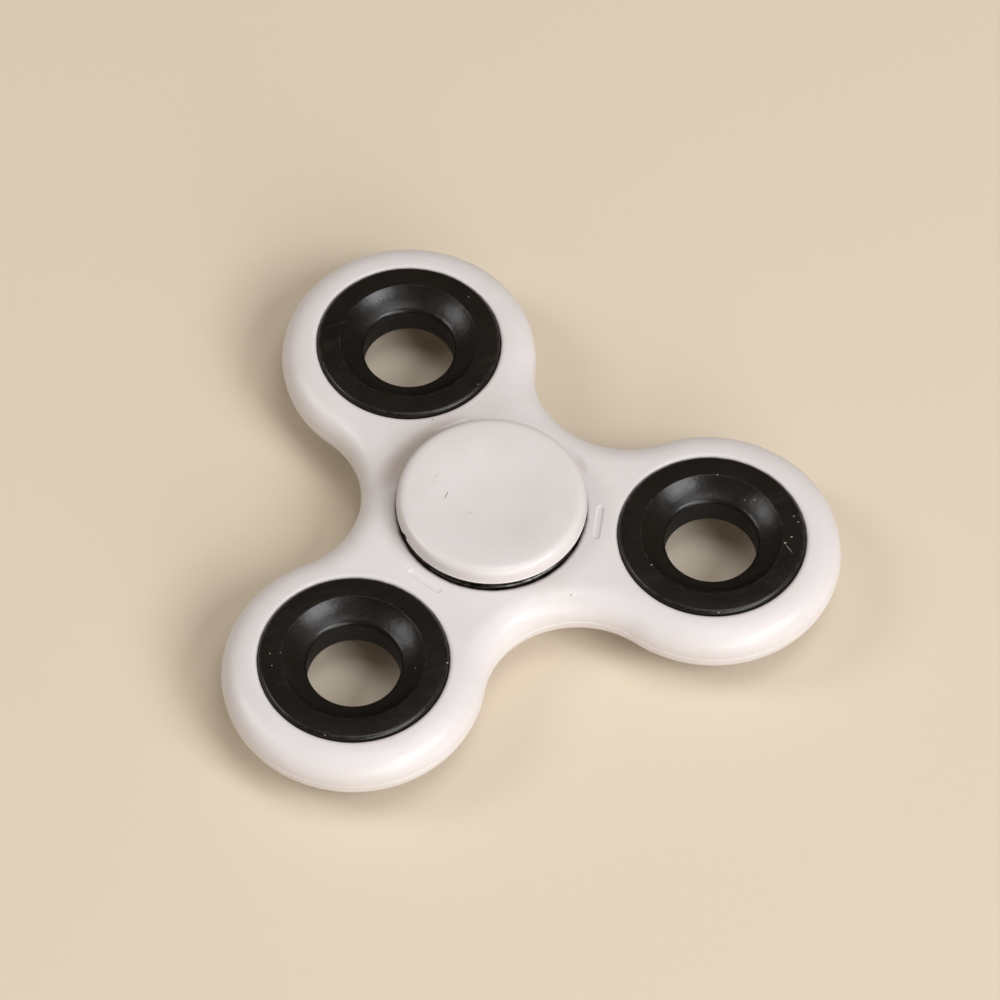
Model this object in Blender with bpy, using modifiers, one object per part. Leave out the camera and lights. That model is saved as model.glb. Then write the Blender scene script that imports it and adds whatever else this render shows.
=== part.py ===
"""Three-lobed fidget spinner: a moulded frame turning on a 608 ball bearing, with three weight rings.

The spin axis is +Z through the origin, and the plane z = 0 halves the object. Lobe 1 points along +Y.
Lengths named here are in millimetres. MM turns them into metres where a mesh is made.
"""

import math

import bmesh
import bpy
from mathutils import Vector

MM = 0.001

# Driving dimensions of the frame.
LOBE_COUNT = 3
LOBE_CENTRE = 25.9
LOBE_RADIUS = 15.2
WAIST = 15.5
FRAME_HALF = 3.2
FRAME_ROUND = 3.0
SEAT_RADIUS = 11.0

# The 608 bearing: 8 bore, 22 outside, 7 wide, seven 3.969 balls on a 15 pitch circle.
BEARING_HALF = 3.5
BORE_RADIUS = 4.0
INNER_SHOULDER = 6.05
OUTER_SHOULDER = 9.0
PITCH_RADIUS = 7.5
BALL_COUNT = 7
BALL_RADIUS = 1.9845
RACE_RADIUS = 2.1
RACE_CLEARANCE = 0.1
RING_CHAMFER = 0.3
BORE_CHAMFER = 0.25

# The shields, and the wire clips that hold them in the outer ring's grooves.
SHIELD_SEAT = 9.65
SHIELD_STEP = 2.5
GROOVE_RADIUS = 9.95
GROOVE_TOP = 3.32
GROOVE_FOOT = 2.88
SHIELD_RADIUS = 9.58
SHIELD_SHEET = 0.28
SHIELD_FLANGE = 2.55
SHIELD_RAISED = 2.75
SHIELD_HOLE = 6.4
CLIP_CIRCLE = 9.72
CLIP_HEIGHT = 3.1
CLIP_WIRE = 0.16

# The pressed cage and its rivets.
CAGE_THICKNESS = 0.35
CAGE_FLAT = 0.2
CAGE_CLEARANCE = 0.12
CAGE_INSIDE = 6.7
CAGE_OUTSIDE = 8.3
RIVET_CIRCLE = 7.8
RIVET_RADIUS = 0.3
RIVET_HOLE = 0.36
RIVET_HEAD = 0.55
RIVET_RISE = 0.25

# The caps that the finger and thumb hold.
CAP_RADIUS = 11.15
CAP_UNDERSIDE = 4.4
CAP_TOP = 6.5
CAP_DISH = 6.05
CAP_CREST = 8.4
CAP_SHOULDER = 0.55
CAP_FALL = 0.25
BOSS_RADIUS = 5.6
STUB_RADIUS = 3.9
STUB_END = 0.15

# The weight rings.
RING_HALF = 3.5
RING_CORNER = 0.4
RING_RIM = 8.25
RING_FOOT = 6.0
RING_HOLE = 5.4
RING_SLOPE = math.radians(30.5)

# Fits. A pressed joint keeps this gap between its two meshes.
PRESS_GAP = 0.08
FACE_GAP = 0.05

# Facets round a turned piece.
STEPS = 36
BEARING_STEPS = 30
MERGE = 0.000002

LOBE_STEP = 2 * math.pi / LOBE_COUNT
LOBE_ANGLES = [math.pi / 2 + index * LOBE_STEP for index in range(LOBE_COUNT)]
BALL_STEP = 2 * math.pi / BALL_COUNT

for leftover in list(bpy.data.objects):
    bpy.data.objects.remove(leftover, do_unlink=True)


def collection_named(name):
    """A new collection in the scene."""
    made = bpy.data.collections.new(name)
    bpy.context.scene.collection.children.link(made)
    return made


PARTS = collection_named("fidget_spinner")
CUTTERS = collection_named("cutters")


def plain_material(name, colour, roughness, metallic):
    """A Principled material of one colour."""
    made = bpy.data.materials.new(name)
    made.use_nodes = True
    shader = made.node_tree.nodes["Principled BSDF"]
    shader.inputs["Base Color"].default_value = (*colour, 1.0)
    shader.inputs["Roughness"].default_value = roughness
    shader.inputs["Metallic"].default_value = metallic
    made.diffuse_color = (*colour, 1.0)
    return made


WHITE_ABS = plain_material("white_abs", (0.76, 0.72, 0.70), 0.38, 0.0)
CAP_ABS = plain_material("cap_abs", (0.74, 0.70, 0.68), 0.34, 0.0)
BLACK_ENAMEL = plain_material("black_enamel", (0.011, 0.010, 0.008), 0.25, 0.0)
BEARING_STEEL = plain_material("bearing_steel", (0.56, 0.56, 0.55), 0.22, 1.0)
BALL_STEEL = plain_material("ball_steel", (0.66, 0.66, 0.66), 0.08, 1.0)
CAGE_STEEL = plain_material("cage_steel", (0.48, 0.46, 0.42), 0.35, 1.0)
SHIELD_STEEL = plain_material("shield_steel", (0.52, 0.52, 0.51), 0.30, 1.0)
SPRING_STEEL = plain_material("spring_steel", (0.30, 0.30, 0.30), 0.30, 1.0)


def place(obj, collection, material):
    """Puts an object in its collection, with its material."""
    collection.objects.link(obj)
    if collection is CUTTERS:
        obj.hide_render = True
        obj.display_type = "WIRE"
    if material:
        obj.data.materials.append(material)
    return obj


def mesh_object(name, builder, collection=PARTS, material=None):
    """A mesh object made from a bmesh, shaded smooth but for its sharp edges."""
    mesh = bpy.data.meshes.new(name)
    builder.to_mesh(mesh)
    builder.free()
    mesh.shade_smooth()
    mesh.set_sharp_from_angle(angle=math.radians(35))
    return place(bpy.data.objects.new(name, mesh), collection, material)


def turned(name, profile, steps, material=None, closed=True, collection=PARTS):
    """A solid of revolution about Z. The profile of (radius, height) runs down its outer side."""
    builder = bmesh.new()
    points = [builder.verts.new((radius * MM, 0, height * MM)) for radius, height in profile]
    for start, end in zip(points, points[1:]):
        builder.edges.new((start, end))
    if closed:
        builder.edges.new((points[-1], points[0]))
    obj = mesh_object(name, builder, collection, material)
    screw = obj.modifiers.new("turn", "SCREW")
    screw.axis = "Z"
    screw.angle = 2 * math.pi
    screw.steps = steps
    screw.render_steps = steps
    screw.use_merge_vertices = True
    screw.merge_threshold = MERGE
    screw.use_smooth_shade = True
    return obj


def polar(radius, angle, height=0.0):
    """A point in metres from a radius and height in millimetres."""
    return Vector((radius * math.cos(angle), radius * math.sin(angle), height)) * MM


def arc(centre, radius, start, end, count):
    """Points on an arc in the plane, from one angle to another."""
    angles = [start + (end - start) * step / count for step in range(count + 1)]
    return [centre + Vector((math.cos(angle), math.sin(angle), 0)) * radius for angle in angles]


def cut(target, cutter, name):
    """Takes the cutter away from the target."""
    boolean = target.modifiers.new(name, "BOOLEAN")
    boolean.operation = "DIFFERENCE"
    boolean.solver = "EXACT"
    boolean.object = cutter


def mirrored(profile):
    """The profile's upper half, from its outer side, followed by the lower half below z = 0."""
    return profile + [(radius, -height) for radius, height in reversed(profile)]


def frame_outline():
    """The frame's outline: a round lobe and then a hollow waist arc, three times round."""
    # The waist arc touches both lobes beside it and comes within WAIST of the spin axis.
    hollow = (WAIST**2 + LOBE_CENTRE**2 - LOBE_CENTRE * WAIST - LOBE_RADIUS**2) / (
        2 * LOBE_RADIUS - 2 * WAIST + LOBE_CENTRE
    )
    hollow_centre = WAIST + hollow
    across = math.asin(hollow_centre * math.sin(LOBE_STEP / 2) / (LOBE_RADIUS + hollow))
    lobe_half = math.pi - across
    waist_half = math.pi - LOBE_STEP / 2 - across
    outline = []
    for angle in LOBE_ANGLES:
        lobe = polar(LOBE_CENTRE, angle)
        outline += arc(lobe, LOBE_RADIUS * MM, angle - lobe_half, angle + lobe_half, 22)[:-1]
        facing = angle + LOBE_STEP / 2
        waist = polar(hollow_centre, facing)
        back = facing + math.pi
        outline += arc(waist, hollow * MM, back + waist_half, back - waist_half, 9)[:-1]
    return outline


def frame():
    """The moulded frame: the outline made solid, its edges rounded, and four seats bored through."""
    outline = frame_outline()
    curve = bpy.data.curves.new("frame_outline", "CURVE")
    curve.dimensions = "2D"
    curve.fill_mode = "BOTH"
    curve.extrude = FRAME_HALF * MM
    spline = curve.splines.new("POLY")
    spline.points.add(len(outline) - 1)
    spline.use_cyclic_u = True
    for point, place_at in zip(spline.points, outline):
        point.co = (*place_at, 1.0)
    guide = place(bpy.data.objects.new("frame_guide", curve), CUTTERS, None)
    bpy.context.view_layer.update()
    graph = bpy.context.evaluated_depsgraph_get()
    flat = bpy.data.meshes.new_from_object(guide.evaluated_get(graph))
    bpy.data.objects.remove(guide, do_unlink=True)
    builder = bmesh.new()
    builder.from_mesh(flat)
    bmesh.ops.remove_doubles(builder, verts=builder.verts, dist=0.00001)
    bmesh.ops.dissolve_limit(builder, angle_limit=0.01, verts=builder.verts, edges=builder.edges)
    bmesh.ops.recalc_face_normals(builder, faces=builder.faces)
    obj = mesh_object("body_frame", builder, PARTS, WHITE_ABS)
    rounding = obj.modifiers.new("edge_round", "BEVEL")
    rounding.width = FRAME_ROUND * MM
    rounding.segments = 4
    rounding.profile = 0.6
    rounding.limit_method = "ANGLE"
    rounding.angle_limit = math.radians(40)
    rounding.use_clamp_overlap = False
    tall = 2 * FRAME_HALF
    seats = [("centre", (0, 0, 0), 0.0, BEARING_STEPS)]
    for number, angle in enumerate(LOBE_ANGLES, 1):
        seats.append((str(number), polar(LOBE_CENTRE, angle), angle, STEPS))
    for label, position, angle, steps in seats:
        profile = [(0, tall), (SEAT_RADIUS, tall), (SEAT_RADIUS, -tall), (0, -tall)]
        cutter = turned("seat_cut_" + label, profile, steps, None, False, CUTTERS)
        cutter.location = position
        cutter.rotation_euler.z = angle
        cut(obj, cutter, "seat_" + label)
    return obj


def ring_inside():
    """The upper half of a weight ring's inside, from the rim down a cone and a rounded lip to the hole."""
    foot = RING_HALF - (RING_RIM - RING_FOOT) * math.tan(RING_SLOPE)
    lip = (RING_FOOT - RING_HOLE) / (1 - math.sin(RING_SLOPE))
    lip_middle = foot - lip * math.cos(RING_SLOPE)
    inside = [(RING_RIM, RING_HALF)]
    steps = 3
    for step in range(steps + 1):
        slope = RING_SLOPE + (math.pi / 2 - RING_SLOPE) * step / steps
        inside.append((RING_HOLE + lip * (1 - math.sin(slope)), lip_middle + lip * math.cos(slope)))
    return inside


def weight_rings():
    """Three steel rings, each a flat rim that falls down a cone to a rounded hole."""
    outside = SEAT_RADIUS - PRESS_GAP
    outer = [(outside - RING_CORNER, RING_HALF), (outside, RING_HALF - RING_CORNER)]
    inside = ring_inside()
    lower = [(radius, -height) for radius, height in inside]
    profile = mirrored(outer) + lower + inside[::-1]
    for number, angle in enumerate(LOBE_ANGLES, 1):
        ring = turned(f"weight_ring_{number}", profile, STEPS, BLACK_ENAMEL)
        ring.location = polar(LOBE_CENTRE, angle)
        ring.rotation_euler.z = angle


def race(bottom, shoulder, outward):
    """The upper half of a race groove, from its shoulder to its bottom, as (radius, height)."""
    centre = bottom - outward * RACE_RADIUS
    edge = math.sqrt(RACE_RADIUS**2 - (shoulder - centre) ** 2)
    heights = [edge, 0.6 * edge]
    return [(centre + outward * math.sqrt(RACE_RADIUS**2 - z**2), z) for z in heights]


def bearing_rings():
    """The outer ring, with its shield seats and clip grooves, and the inner ring."""
    outside = SEAT_RADIUS - PRESS_GAP
    bottom = PITCH_RADIUS + BALL_RADIUS + RACE_CLEARANCE
    face = [(outside - RING_CHAMFER, BEARING_HALF), (outside, BEARING_HALF - RING_CHAMFER)]
    upper = [(SHIELD_SEAT, BEARING_HALF), (SHIELD_SEAT, GROOVE_TOP), (GROOVE_RADIUS, GROOVE_TOP)]
    upper += [(GROOVE_RADIUS, GROOVE_FOOT), (SHIELD_SEAT, GROOVE_FOOT), (SHIELD_SEAT, SHIELD_STEP)]
    upper += [(OUTER_SHOULDER, SHIELD_STEP)] + race(bottom, OUTER_SHOULDER, 1) + [(bottom, 0)]
    lower = [(radius, -height) for radius, height in upper[:-1]]
    turned("bearing_outer_ring", mirrored(face) + lower + upper[::-1], BEARING_STEPS, BEARING_STEEL)

    bottom = PITCH_RADIUS - BALL_RADIUS - RACE_CLEARANCE
    corner = BORE_CHAMFER
    upper = [(INNER_SHOULDER - corner, BEARING_HALF), (INNER_SHOULDER, BEARING_HALF - corner)]
    upper += race(bottom, INNER_SHOULDER, -1) + [(bottom, 0)]
    lower = [(radius, -height) for radius, height in reversed(upper[:-1])]
    bore = [(BORE_RADIUS + corner, -BEARING_HALF), (BORE_RADIUS, -BEARING_HALF + corner)]
    bore += [(radius, -height) for radius, height in reversed(bore)]
    turned("bearing_inner_ring", upper + lower + bore, BEARING_STEPS, BEARING_STEEL)


def balls():
    """Seven balls, each turning about its own centre."""
    for number in range(1, BALL_COUNT + 1):
        builder = bmesh.new()
        bmesh.ops.create_uvsphere(builder, u_segments=12, v_segments=8, radius=BALL_RADIUS * MM)
        ball = mesh_object(f"bearing_ball_{number}", builder, PARTS, BALL_STEEL)
        ball.location = polar(PITCH_RADIUS, (number - 1) * BALL_STEP)


def cage_half(name, side):
    """One pressed half of the cage: a ribbon that arches over each ball, open to Solidify."""
    over = BALL_RADIUS + CAGE_CLEARANCE + CAGE_THICKNESS / 2
    first = math.asin(CAGE_FLAT / over)
    steps = 6
    builder = bmesh.new()
    rails = []
    for ball in range(BALL_COUNT):
        angle = ball * BALL_STEP
        outward = Vector((math.cos(angle), math.sin(angle), 0))
        along = Vector((-math.sin(angle), math.cos(angle), 0))
        for step in range(steps + 1):
            turn = first + (math.pi - 2 * first) * step / steps
            offset = along * (-over * math.cos(turn)) + Vector((0, 0, side * over * math.sin(turn)))
            ends = [(outward * radius + offset) * MM for radius in (CAGE_INSIDE, CAGE_OUTSIDE)]
            rails.append([builder.verts.new(end) for end in ends])
    for near, far in zip(rails, rails[1:] + rails[:1]):
        builder.faces.new((near[0], near[1], far[1], far[0]))
    obj = mesh_object(name, builder, PARTS, CAGE_STEEL)
    sheet = obj.modifiers.new("sheet", "SOLIDIFY")
    sheet.thickness = CAGE_THICKNESS * MM
    sheet.offset = 0
    sheet.use_even_offset = True
    cut(obj, bpy.data.objects["rivet_holes"], "rivet_holes")


def cage():
    """The two pressed halves and the seven rivets between the balls."""
    angles = [(number + 0.5) * BALL_STEP for number in range(BALL_COUNT)]
    builder = bmesh.new()
    for angle in angles:
        made = bmesh.ops.create_cone(
            builder,
            cap_ends=True,
            segments=8,
            radius1=RIVET_HOLE * MM,
            radius2=RIVET_HOLE * MM,
            depth=2 * MM,
        )
        bmesh.ops.translate(builder, verts=made["verts"], vec=polar(RIVET_CIRCLE, angle))
    mesh_object("rivet_holes", builder, CUTTERS)
    cage_half("cage_upper", 1)
    cage_half("cage_lower", -1)
    head = CAGE_FLAT + CAGE_THICKNESS / 2 + FACE_GAP
    top = head + RIVET_RISE
    half = [(0, top), (RIVET_HEAD - 0.05, top - 0.05), (RIVET_HEAD, head), (RIVET_RADIUS, head)]
    for number, angle in enumerate(angles, 1):
        rivet = turned(f"cage_rivet_{number}", mirrored(half), 8, CAGE_STEEL, closed=False)
        rivet.location = polar(RIVET_CIRCLE, angle)


def shields():
    """A pressed shield on each side, held by a sprung wire clip in the outer ring's groove."""
    bend = 9.0
    raised_edge = 8.7
    top = [(SHIELD_HOLE, SHIELD_RAISED + SHIELD_SHEET), (raised_edge, SHIELD_RAISED + SHIELD_SHEET)]
    top += [(bend, SHIELD_FLANGE + SHIELD_SHEET), (SHIELD_RADIUS, SHIELD_FLANGE + SHIELD_SHEET)]
    underside = [(radius, height - SHIELD_SHEET) for radius, height in reversed(top)]
    profile = top[3:] + underside + top[:3]
    for label, turn in (("upper", 0.0), ("lower", math.pi)):
        shield = turned(f"bearing_shield_{label}", profile, BEARING_STEPS, SHIELD_STEEL)
        shield.rotation_euler.x = turn
        clip(f"shield_clip_{label}", turn)


def clip(name, turn):
    """An open ring of round wire, its points at the bearing's own facets."""
    curve = bpy.data.curves.new(name, "CURVE")
    curve.dimensions = "3D"
    curve.bevel_depth = CLIP_WIRE * MM
    curve.bevel_resolution = 1
    curve.use_fill_caps = True
    spline = curve.splines.new("POLY")
    first, last = 1, BEARING_STEPS - 1
    spline.points.add(last - first)
    for index, point in enumerate(spline.points, first):
        point.co = (*polar(CLIP_CIRCLE, index * 2 * math.pi / BEARING_STEPS, CLIP_HEIGHT), 1.0)
    obj = place(bpy.data.objects.new(name, curve), PARTS, SPRING_STEEL)
    obj.rotation_euler.x = turn


def cap_top():
    """A cap's upper side, from the middle of the dish over the crest to the foot of its side."""
    crest_width = 1.0
    depth = CAP_TOP - CAP_DISH
    top = [(0, CAP_DISH), (CAP_CREST * 0.4, CAP_DISH), (CAP_CREST * 0.75, CAP_TOP - depth * 0.35)]
    top += [(CAP_CREST, CAP_TOP), (CAP_CREST + crest_width, CAP_TOP)]
    middle = CAP_RADIUS - CAP_SHOULDER
    steps = 3
    for step in range(steps + 1):
        turn = math.pi / 2 * step / steps
        height = CAP_TOP - CAP_FALL - CAP_SHOULDER * (1 - math.cos(turn))
        top.append((middle + CAP_SHOULDER * math.sin(turn), height))
    return top


def finger_caps():
    """A dished cap on each side, with a boss on the inner ring and a stub pressed in its bore."""
    boss = BEARING_HALF + FACE_GAP
    edge = 0.15
    taper = 0.4
    profile = cap_top() + [(CAP_RADIUS, CAP_UNDERSIDE + edge), (CAP_RADIUS - edge, CAP_UNDERSIDE)]
    profile += [(BOSS_RADIUS, CAP_UNDERSIDE), (BOSS_RADIUS, boss), (STUB_RADIUS, boss)]
    profile += [(STUB_RADIUS, STUB_END + taper), (STUB_RADIUS - taper, STUB_END), (0, STUB_END)]
    for label, turn in (("upper", 0.0), ("lower", math.pi)):
        cap = turned(f"finger_cap_{label}", profile, STEPS, CAP_ABS, closed=False)
        cap.rotation_euler.x = turn


frame()
weight_rings()
bearing_rings()
balls()
cage()
shields()
finger_caps()
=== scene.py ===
import math

import bmesh
import bpy
from mathutils import Matrix, Vector


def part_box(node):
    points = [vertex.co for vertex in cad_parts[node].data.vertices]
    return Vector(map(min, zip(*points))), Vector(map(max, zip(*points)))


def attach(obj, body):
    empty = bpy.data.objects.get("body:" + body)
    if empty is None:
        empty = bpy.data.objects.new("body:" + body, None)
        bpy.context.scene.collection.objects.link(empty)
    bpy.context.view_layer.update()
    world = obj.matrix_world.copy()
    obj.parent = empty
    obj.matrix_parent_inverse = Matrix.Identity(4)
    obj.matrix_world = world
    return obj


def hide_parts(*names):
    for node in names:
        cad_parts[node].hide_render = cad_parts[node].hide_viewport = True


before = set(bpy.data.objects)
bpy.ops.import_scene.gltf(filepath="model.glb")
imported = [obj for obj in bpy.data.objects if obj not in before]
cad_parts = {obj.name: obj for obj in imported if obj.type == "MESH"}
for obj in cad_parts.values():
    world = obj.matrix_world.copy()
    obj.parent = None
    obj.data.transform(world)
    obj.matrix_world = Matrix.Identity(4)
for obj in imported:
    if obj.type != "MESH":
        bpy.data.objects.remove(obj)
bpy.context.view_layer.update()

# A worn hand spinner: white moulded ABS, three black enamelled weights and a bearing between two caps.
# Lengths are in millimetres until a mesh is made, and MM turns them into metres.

MM = 0.001


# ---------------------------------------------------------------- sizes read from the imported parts

def box_mm(node):
    """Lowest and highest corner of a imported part, in millimetres."""
    low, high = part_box(node)
    return low / MM, high / MM


def middle_of(node):
    """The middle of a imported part's box, in millimetres."""
    low, high = box_mm(node)
    return (low + high) / 2


WEIGHTS = ("weight_ring_1", "weight_ring_2", "weight_ring_3")
LOBE_CENTRES = [middle_of(node) for node in WEIGHTS]
LOBE_REACH = LOBE_CENTRES[0].y
LOBE_ANGLES = [math.atan2(centre.y, centre.x) for centre in LOBE_CENTRES]
LOBE_STEP = math.radians(120)
LOBE_RADIUS = box_mm("body_frame")[1].y - LOBE_REACH
FRAME_HALF = box_mm("body_frame")[1].z
RING_HALF = box_mm("weight_ring_1")[1].z
RING_OUTSIDE = box_mm("weight_ring_1")[1].y - LOBE_REACH
CAP_RADIUS = box_mm("finger_cap_upper")[1].x
CAP_TOP = box_mm("finger_cap_upper")[1].z
BEARING_OUTSIDE = box_mm("bearing_outer_ring")[1].x
BEARING_HALF = box_mm("bearing_outer_ring")[1].z
BALLS = 7
BALL_RADIUS = box_mm("bearing_ball_1")[1].z
PITCH_RADIUS = middle_of("bearing_ball_1").x
CAGE_RADIUS = box_mm("cage_upper")[1].x
TABLE = box_mm("finger_cap_lower")[0].z

# The frame's sizes that the boxes don't give: the seats that hold the weights and the bearing, the
# narrowest reach of the frame between two lobes, and how far in and how squarely its side rolls.
SEAT_RADIUS = 11.0
WAIST = 15.5
SIDE_DEPTH = 4.1
SIDE_POWER = 2.5
# The rounded mouth of each seat.
MOUTH_WIDTH = 0.6
MOUTH_DEPTH = 0.42
# The shallow slot in each web, how far out it lies, and how wide its soft wall is.
SLOT_RADIUS = 12.6
SLOT_LENGTH = 4.9
SLOT_WIDTH = 1.1
SLOT_DEPTH = 0.11
SLOT_SOFT = 0.4

# The weights' bowl, with its slope at the rim and at its foot.
RIM_RADIUS = 8.25
BOWL_FOOT = 5.93
HOLE_RADIUS = 5.4
RIM_SLOPE = math.radians(41)
FOOT_SLOPE = math.radians(22)

# The caps: a dish inside the crest, a rolled shoulder outside it, a thin brim, a boss and a stub.
CREST_RADIUS = 8.6
CREST_END = 9.15
DISH_DEPTH = 0.45
CAP_WALL = 11.07
SHOULDER_DROP = 1.8
SHOULDER_POWER = 3.5
BRIM_TOP = 4.66
BRIM_EDGE = 0.07
CAP_UNDERSIDE = 4.4
BOSS_RADIUS = 5.6
STUB_RADIUS = 3.9
STUB_END = 0.15
NICK_ANGLE = math.radians(-178)
NICK_SIZE = (0.34, 0.68, 0.46, 1.0)

# The bearing: its bore, the shoulders beside its races, and the seat and groove for shield and clip.
BORE_RADIUS = 4.0
INNER_SHOULDER = 6.05
OUTER_SHOULDER = 9.0
SHIELD_SEAT = 9.65
GROOVE_RADIUS = 9.95
RACE_RADIUS = 2.1
RACE_CLEARANCE = 0.1
CLIP_HEIGHT = 3.1
CLIP_WIRE = 0.16

# How finely round pieces and rounded corners are cut, and the degrees at which an edge stays crisp.
ROUND_STEPS = 192
CORNER_STEPS = 6
CRISP = 35


# ---------------------------------------------------------------- mesh tools

def smoothed(piece, crisp=CRISP):
    """Shades the piece smooth, but for edges sharper than this many degrees."""
    piece.data.shade_smooth()
    piece.data.set_sharp_from_angle(angle=math.radians(crisp))


def finished(name, builder, material):
    """A piece made from a bmesh, shaded smooth."""
    mesh = bpy.data.meshes.new(name)
    builder.to_mesh(mesh)
    builder.free()
    piece = bpy.data.objects.new(name, mesh)
    smoothed(piece)
    bpy.context.scene.collection.objects.link(piece)
    if material:
        mesh.materials.append(material)
    return piece


def settled(piece):
    """Applies the piece's modifiers, so that its mesh is its final one."""
    bpy.context.view_layer.update()
    graph = bpy.context.evaluated_depsgraph_get()
    mesh = bpy.data.meshes.new_from_object(piece.evaluated_get(graph))
    piece.modifiers.clear()
    old = piece.data
    piece.data = mesh
    bpy.data.meshes.remove(old)
    return piece


def turned(name, profile, material, centre=(0, 0, 0), steps=ROUND_STEPS, closed=True, crisp=CRISP):
    """A piece turned about an upright axis. The profile of (radius, height) runs down its outer side."""
    builder = bmesh.new()
    points = [builder.verts.new((radius * MM, 0, height * MM)) for radius, height in profile]
    for start, end in zip(points, points[1:]):
        builder.edges.new((start, end))
    if closed:
        builder.edges.new((points[-1], points[0]))
    piece = finished(name, builder, material)
    screw = piece.modifiers.new("turn", "SCREW")
    screw.axis = "Z"
    screw.angle = 2 * math.pi
    screw.steps = steps
    screw.render_steps = steps
    screw.use_merge_vertices = True
    screw.merge_threshold = 0.001 * MM
    settled(piece)
    piece.data.transform(Matrix.Translation(Vector(centre) * MM))
    smoothed(piece, crisp)
    return piece


def corner(before, at, after, radius):
    """Points that round the corner of a profile with an arc of this radius."""
    at = Vector(at)
    into = (Vector(before) - at).normalized()
    out = (Vector(after) - at).normalized()
    half = into.angle(out) / 2
    back = radius / math.tan(half)
    centre = at + (into + out).normalized() * (radius / math.sin(half))
    first = at + into * back - centre
    sweep = math.pi - 2 * half
    turn = 1 if into.x * out.y - into.y * out.x < 0 else -1
    shares = [step / CORNER_STEPS for step in range(CORNER_STEPS + 1)]
    return [tuple(centre + Matrix.Rotation(turn * sweep * share, 2) @ first) for share in shares]


def rounded(corners, closed=True):
    """A profile from (radius, height, corner radius) points, with every corner that asks for it rounded."""
    profile = []
    count = len(corners)
    for index, (across, up, radius) in enumerate(corners):
        at_end = index in (0, count - 1) and not closed
        if radius == 0 or at_end:
            profile.append((across, up))
            continue
        before = corners[index - 1][:2]
        after = corners[(index + 1) % count][:2]
        profile += corner(before, (across, up), after, radius)
    return profile


def turned_over(piece):
    """Turns a piece half round about X, for the other face of the spinner."""
    piece.data.transform(Matrix.Rotation(math.pi, 4, "X"))
    return piece


def polar(radius, angle, height=0.0):
    """A point in millimetres, from its radius, angle and height."""
    return Vector((radius * math.cos(angle), radius * math.sin(angle), height))


def arc(centre, radius, start, end, count):
    """Points on a level arc, the last one left out."""
    angles = [start + (end - start) * step / count for step in range(count)]
    return [centre + polar(radius, angle) for angle in angles]


def skinned(builder, rows):
    """Joins closed rows of corners into a skin, each row to the one after it."""
    for low, high in zip(rows, rows[1:]):
        for index in range(len(low)):
            after = (index + 1) % len(low)
            builder.faces.new((low[index], low[after], high[after], high[index]))


def bored(target, cutter):
    """Takes the cutter away from the target and removes it."""
    boolean = target.modifiers.new("bore", "BOOLEAN")
    boolean.operation = "DIFFERENCE"
    boolean.solver = "EXACT"
    boolean.object = cutter
    settled(target)
    bpy.data.objects.remove(cutter, do_unlink=True)


def stands_for(piece, node, body):
    """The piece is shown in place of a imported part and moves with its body."""
    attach(piece, body)
    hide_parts(node)
    return piece


# ---------------------------------------------------------------- material tools

def linear(hex_colour):
    """An sRGB hex colour as a linear RGBA value."""
    channels = [int(hex_colour[at:at + 2], 16) / 255 for at in (1, 3, 5)]
    return tuple(c / 12.92 if c <= 0.04045 else ((c + 0.055) / 1.055) ** 2.4 for c in channels) + (1.0,)


def each(size):
    """The texture scale that repeats a pattern once in this many millimetres."""
    return 1 / (size * MM)


def add(tree, kind, inputs=None, **settings):
    """Adds a node: its own settings, and its inputs by name or number, each a value or a socket to join."""
    node = tree.nodes.new("ShaderNode" + kind)
    for name, value in settings.items():
        setattr(node, name, value)
    for key, value in (inputs or {}).items():
        if isinstance(value, bpy.types.NodeSocket):
            tree.links.new(value, node.inputs[key])
        else:
            node.inputs[key].default_value = value
    return node


def begun(name, roughness, metallic=0.0, ior=None):
    """A new material: its node tree, its Principled shader, and where each point of the piece lies."""
    made = bpy.data.materials.new(name)
    made.use_nodes = True
    tree = made.node_tree
    shader = tree.nodes["Principled BSDF"]
    shader.inputs["Roughness"].default_value = roughness
    shader.inputs["Metallic"].default_value = metallic
    if ior:
        shader.inputs["IOR"].default_value = ior
    lies = add(tree, "TexCoord").outputs["Object"]
    return made, tree, shader, lies


def clouds(tree, lies, size, low, high, detail=3.0, spread=(0.35, 0.65)):
    """A soft random pattern of patches this size, from low to high."""
    pattern = {"Vector": lies, "Scale": each(size), "Detail": detail, "Roughness": 0.55}
    noise = add(tree, "TexNoise", pattern)
    mapped = {"Value": noise.outputs["Fac"], "From Min": spread[0], "From Max": spread[1]}
    mapped.update({"To Min": low, "To Max": high})
    return add(tree, "MapRange", mapped).outputs["Result"]


def stretched(tree, lies, scale, turn=0.0):
    """The place of each point, squeezed along its axes and turned about Z, for long thin patterns."""
    inputs = {"Vector": lies, "Rotation": (0, 0, turn), "Scale": scale}
    return add(tree, "Mapping", inputs).outputs["Vector"]


def specks(tree, lies, spacing, size, share, seed):
    """Small round specks: one cell in so many holds one, and it is this size in millimetres."""
    moved = add(tree, "VectorMath", {0: lies, 1: (seed * MM, -seed * MM, seed * MM)}).outputs[0]
    cells = add(tree, "TexVoronoi", {"Vector": moved, "Scale": each(spacing), "Randomness": 1.0})
    split = add(tree, "SeparateColor", {"Color": cells.outputs["Color"]})
    chosen = add(tree, "Math", {0: split.outputs[0], 1: share}, operation="LESS_THAN").outputs[0]
    reach = size / spacing / 2
    sizes = {"Value": split.outputs[1], "To Min": reach * 0.45, "To Max": reach}
    wide = add(tree, "MapRange", sizes).outputs[0]
    near = add(tree, "Math", {0: wide, 1: cells.outputs["Distance"]}, operation="SUBTRACT").outputs[0]
    fade = {"Value": near, "From Min": 0.0, "From Max": reach * 0.3}
    spot = add(tree, "MapRange", fade).outputs[0]
    return add(tree, "Math", {0: spot, 1: chosen}, operation="MULTIPLY").outputs[0]


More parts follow.
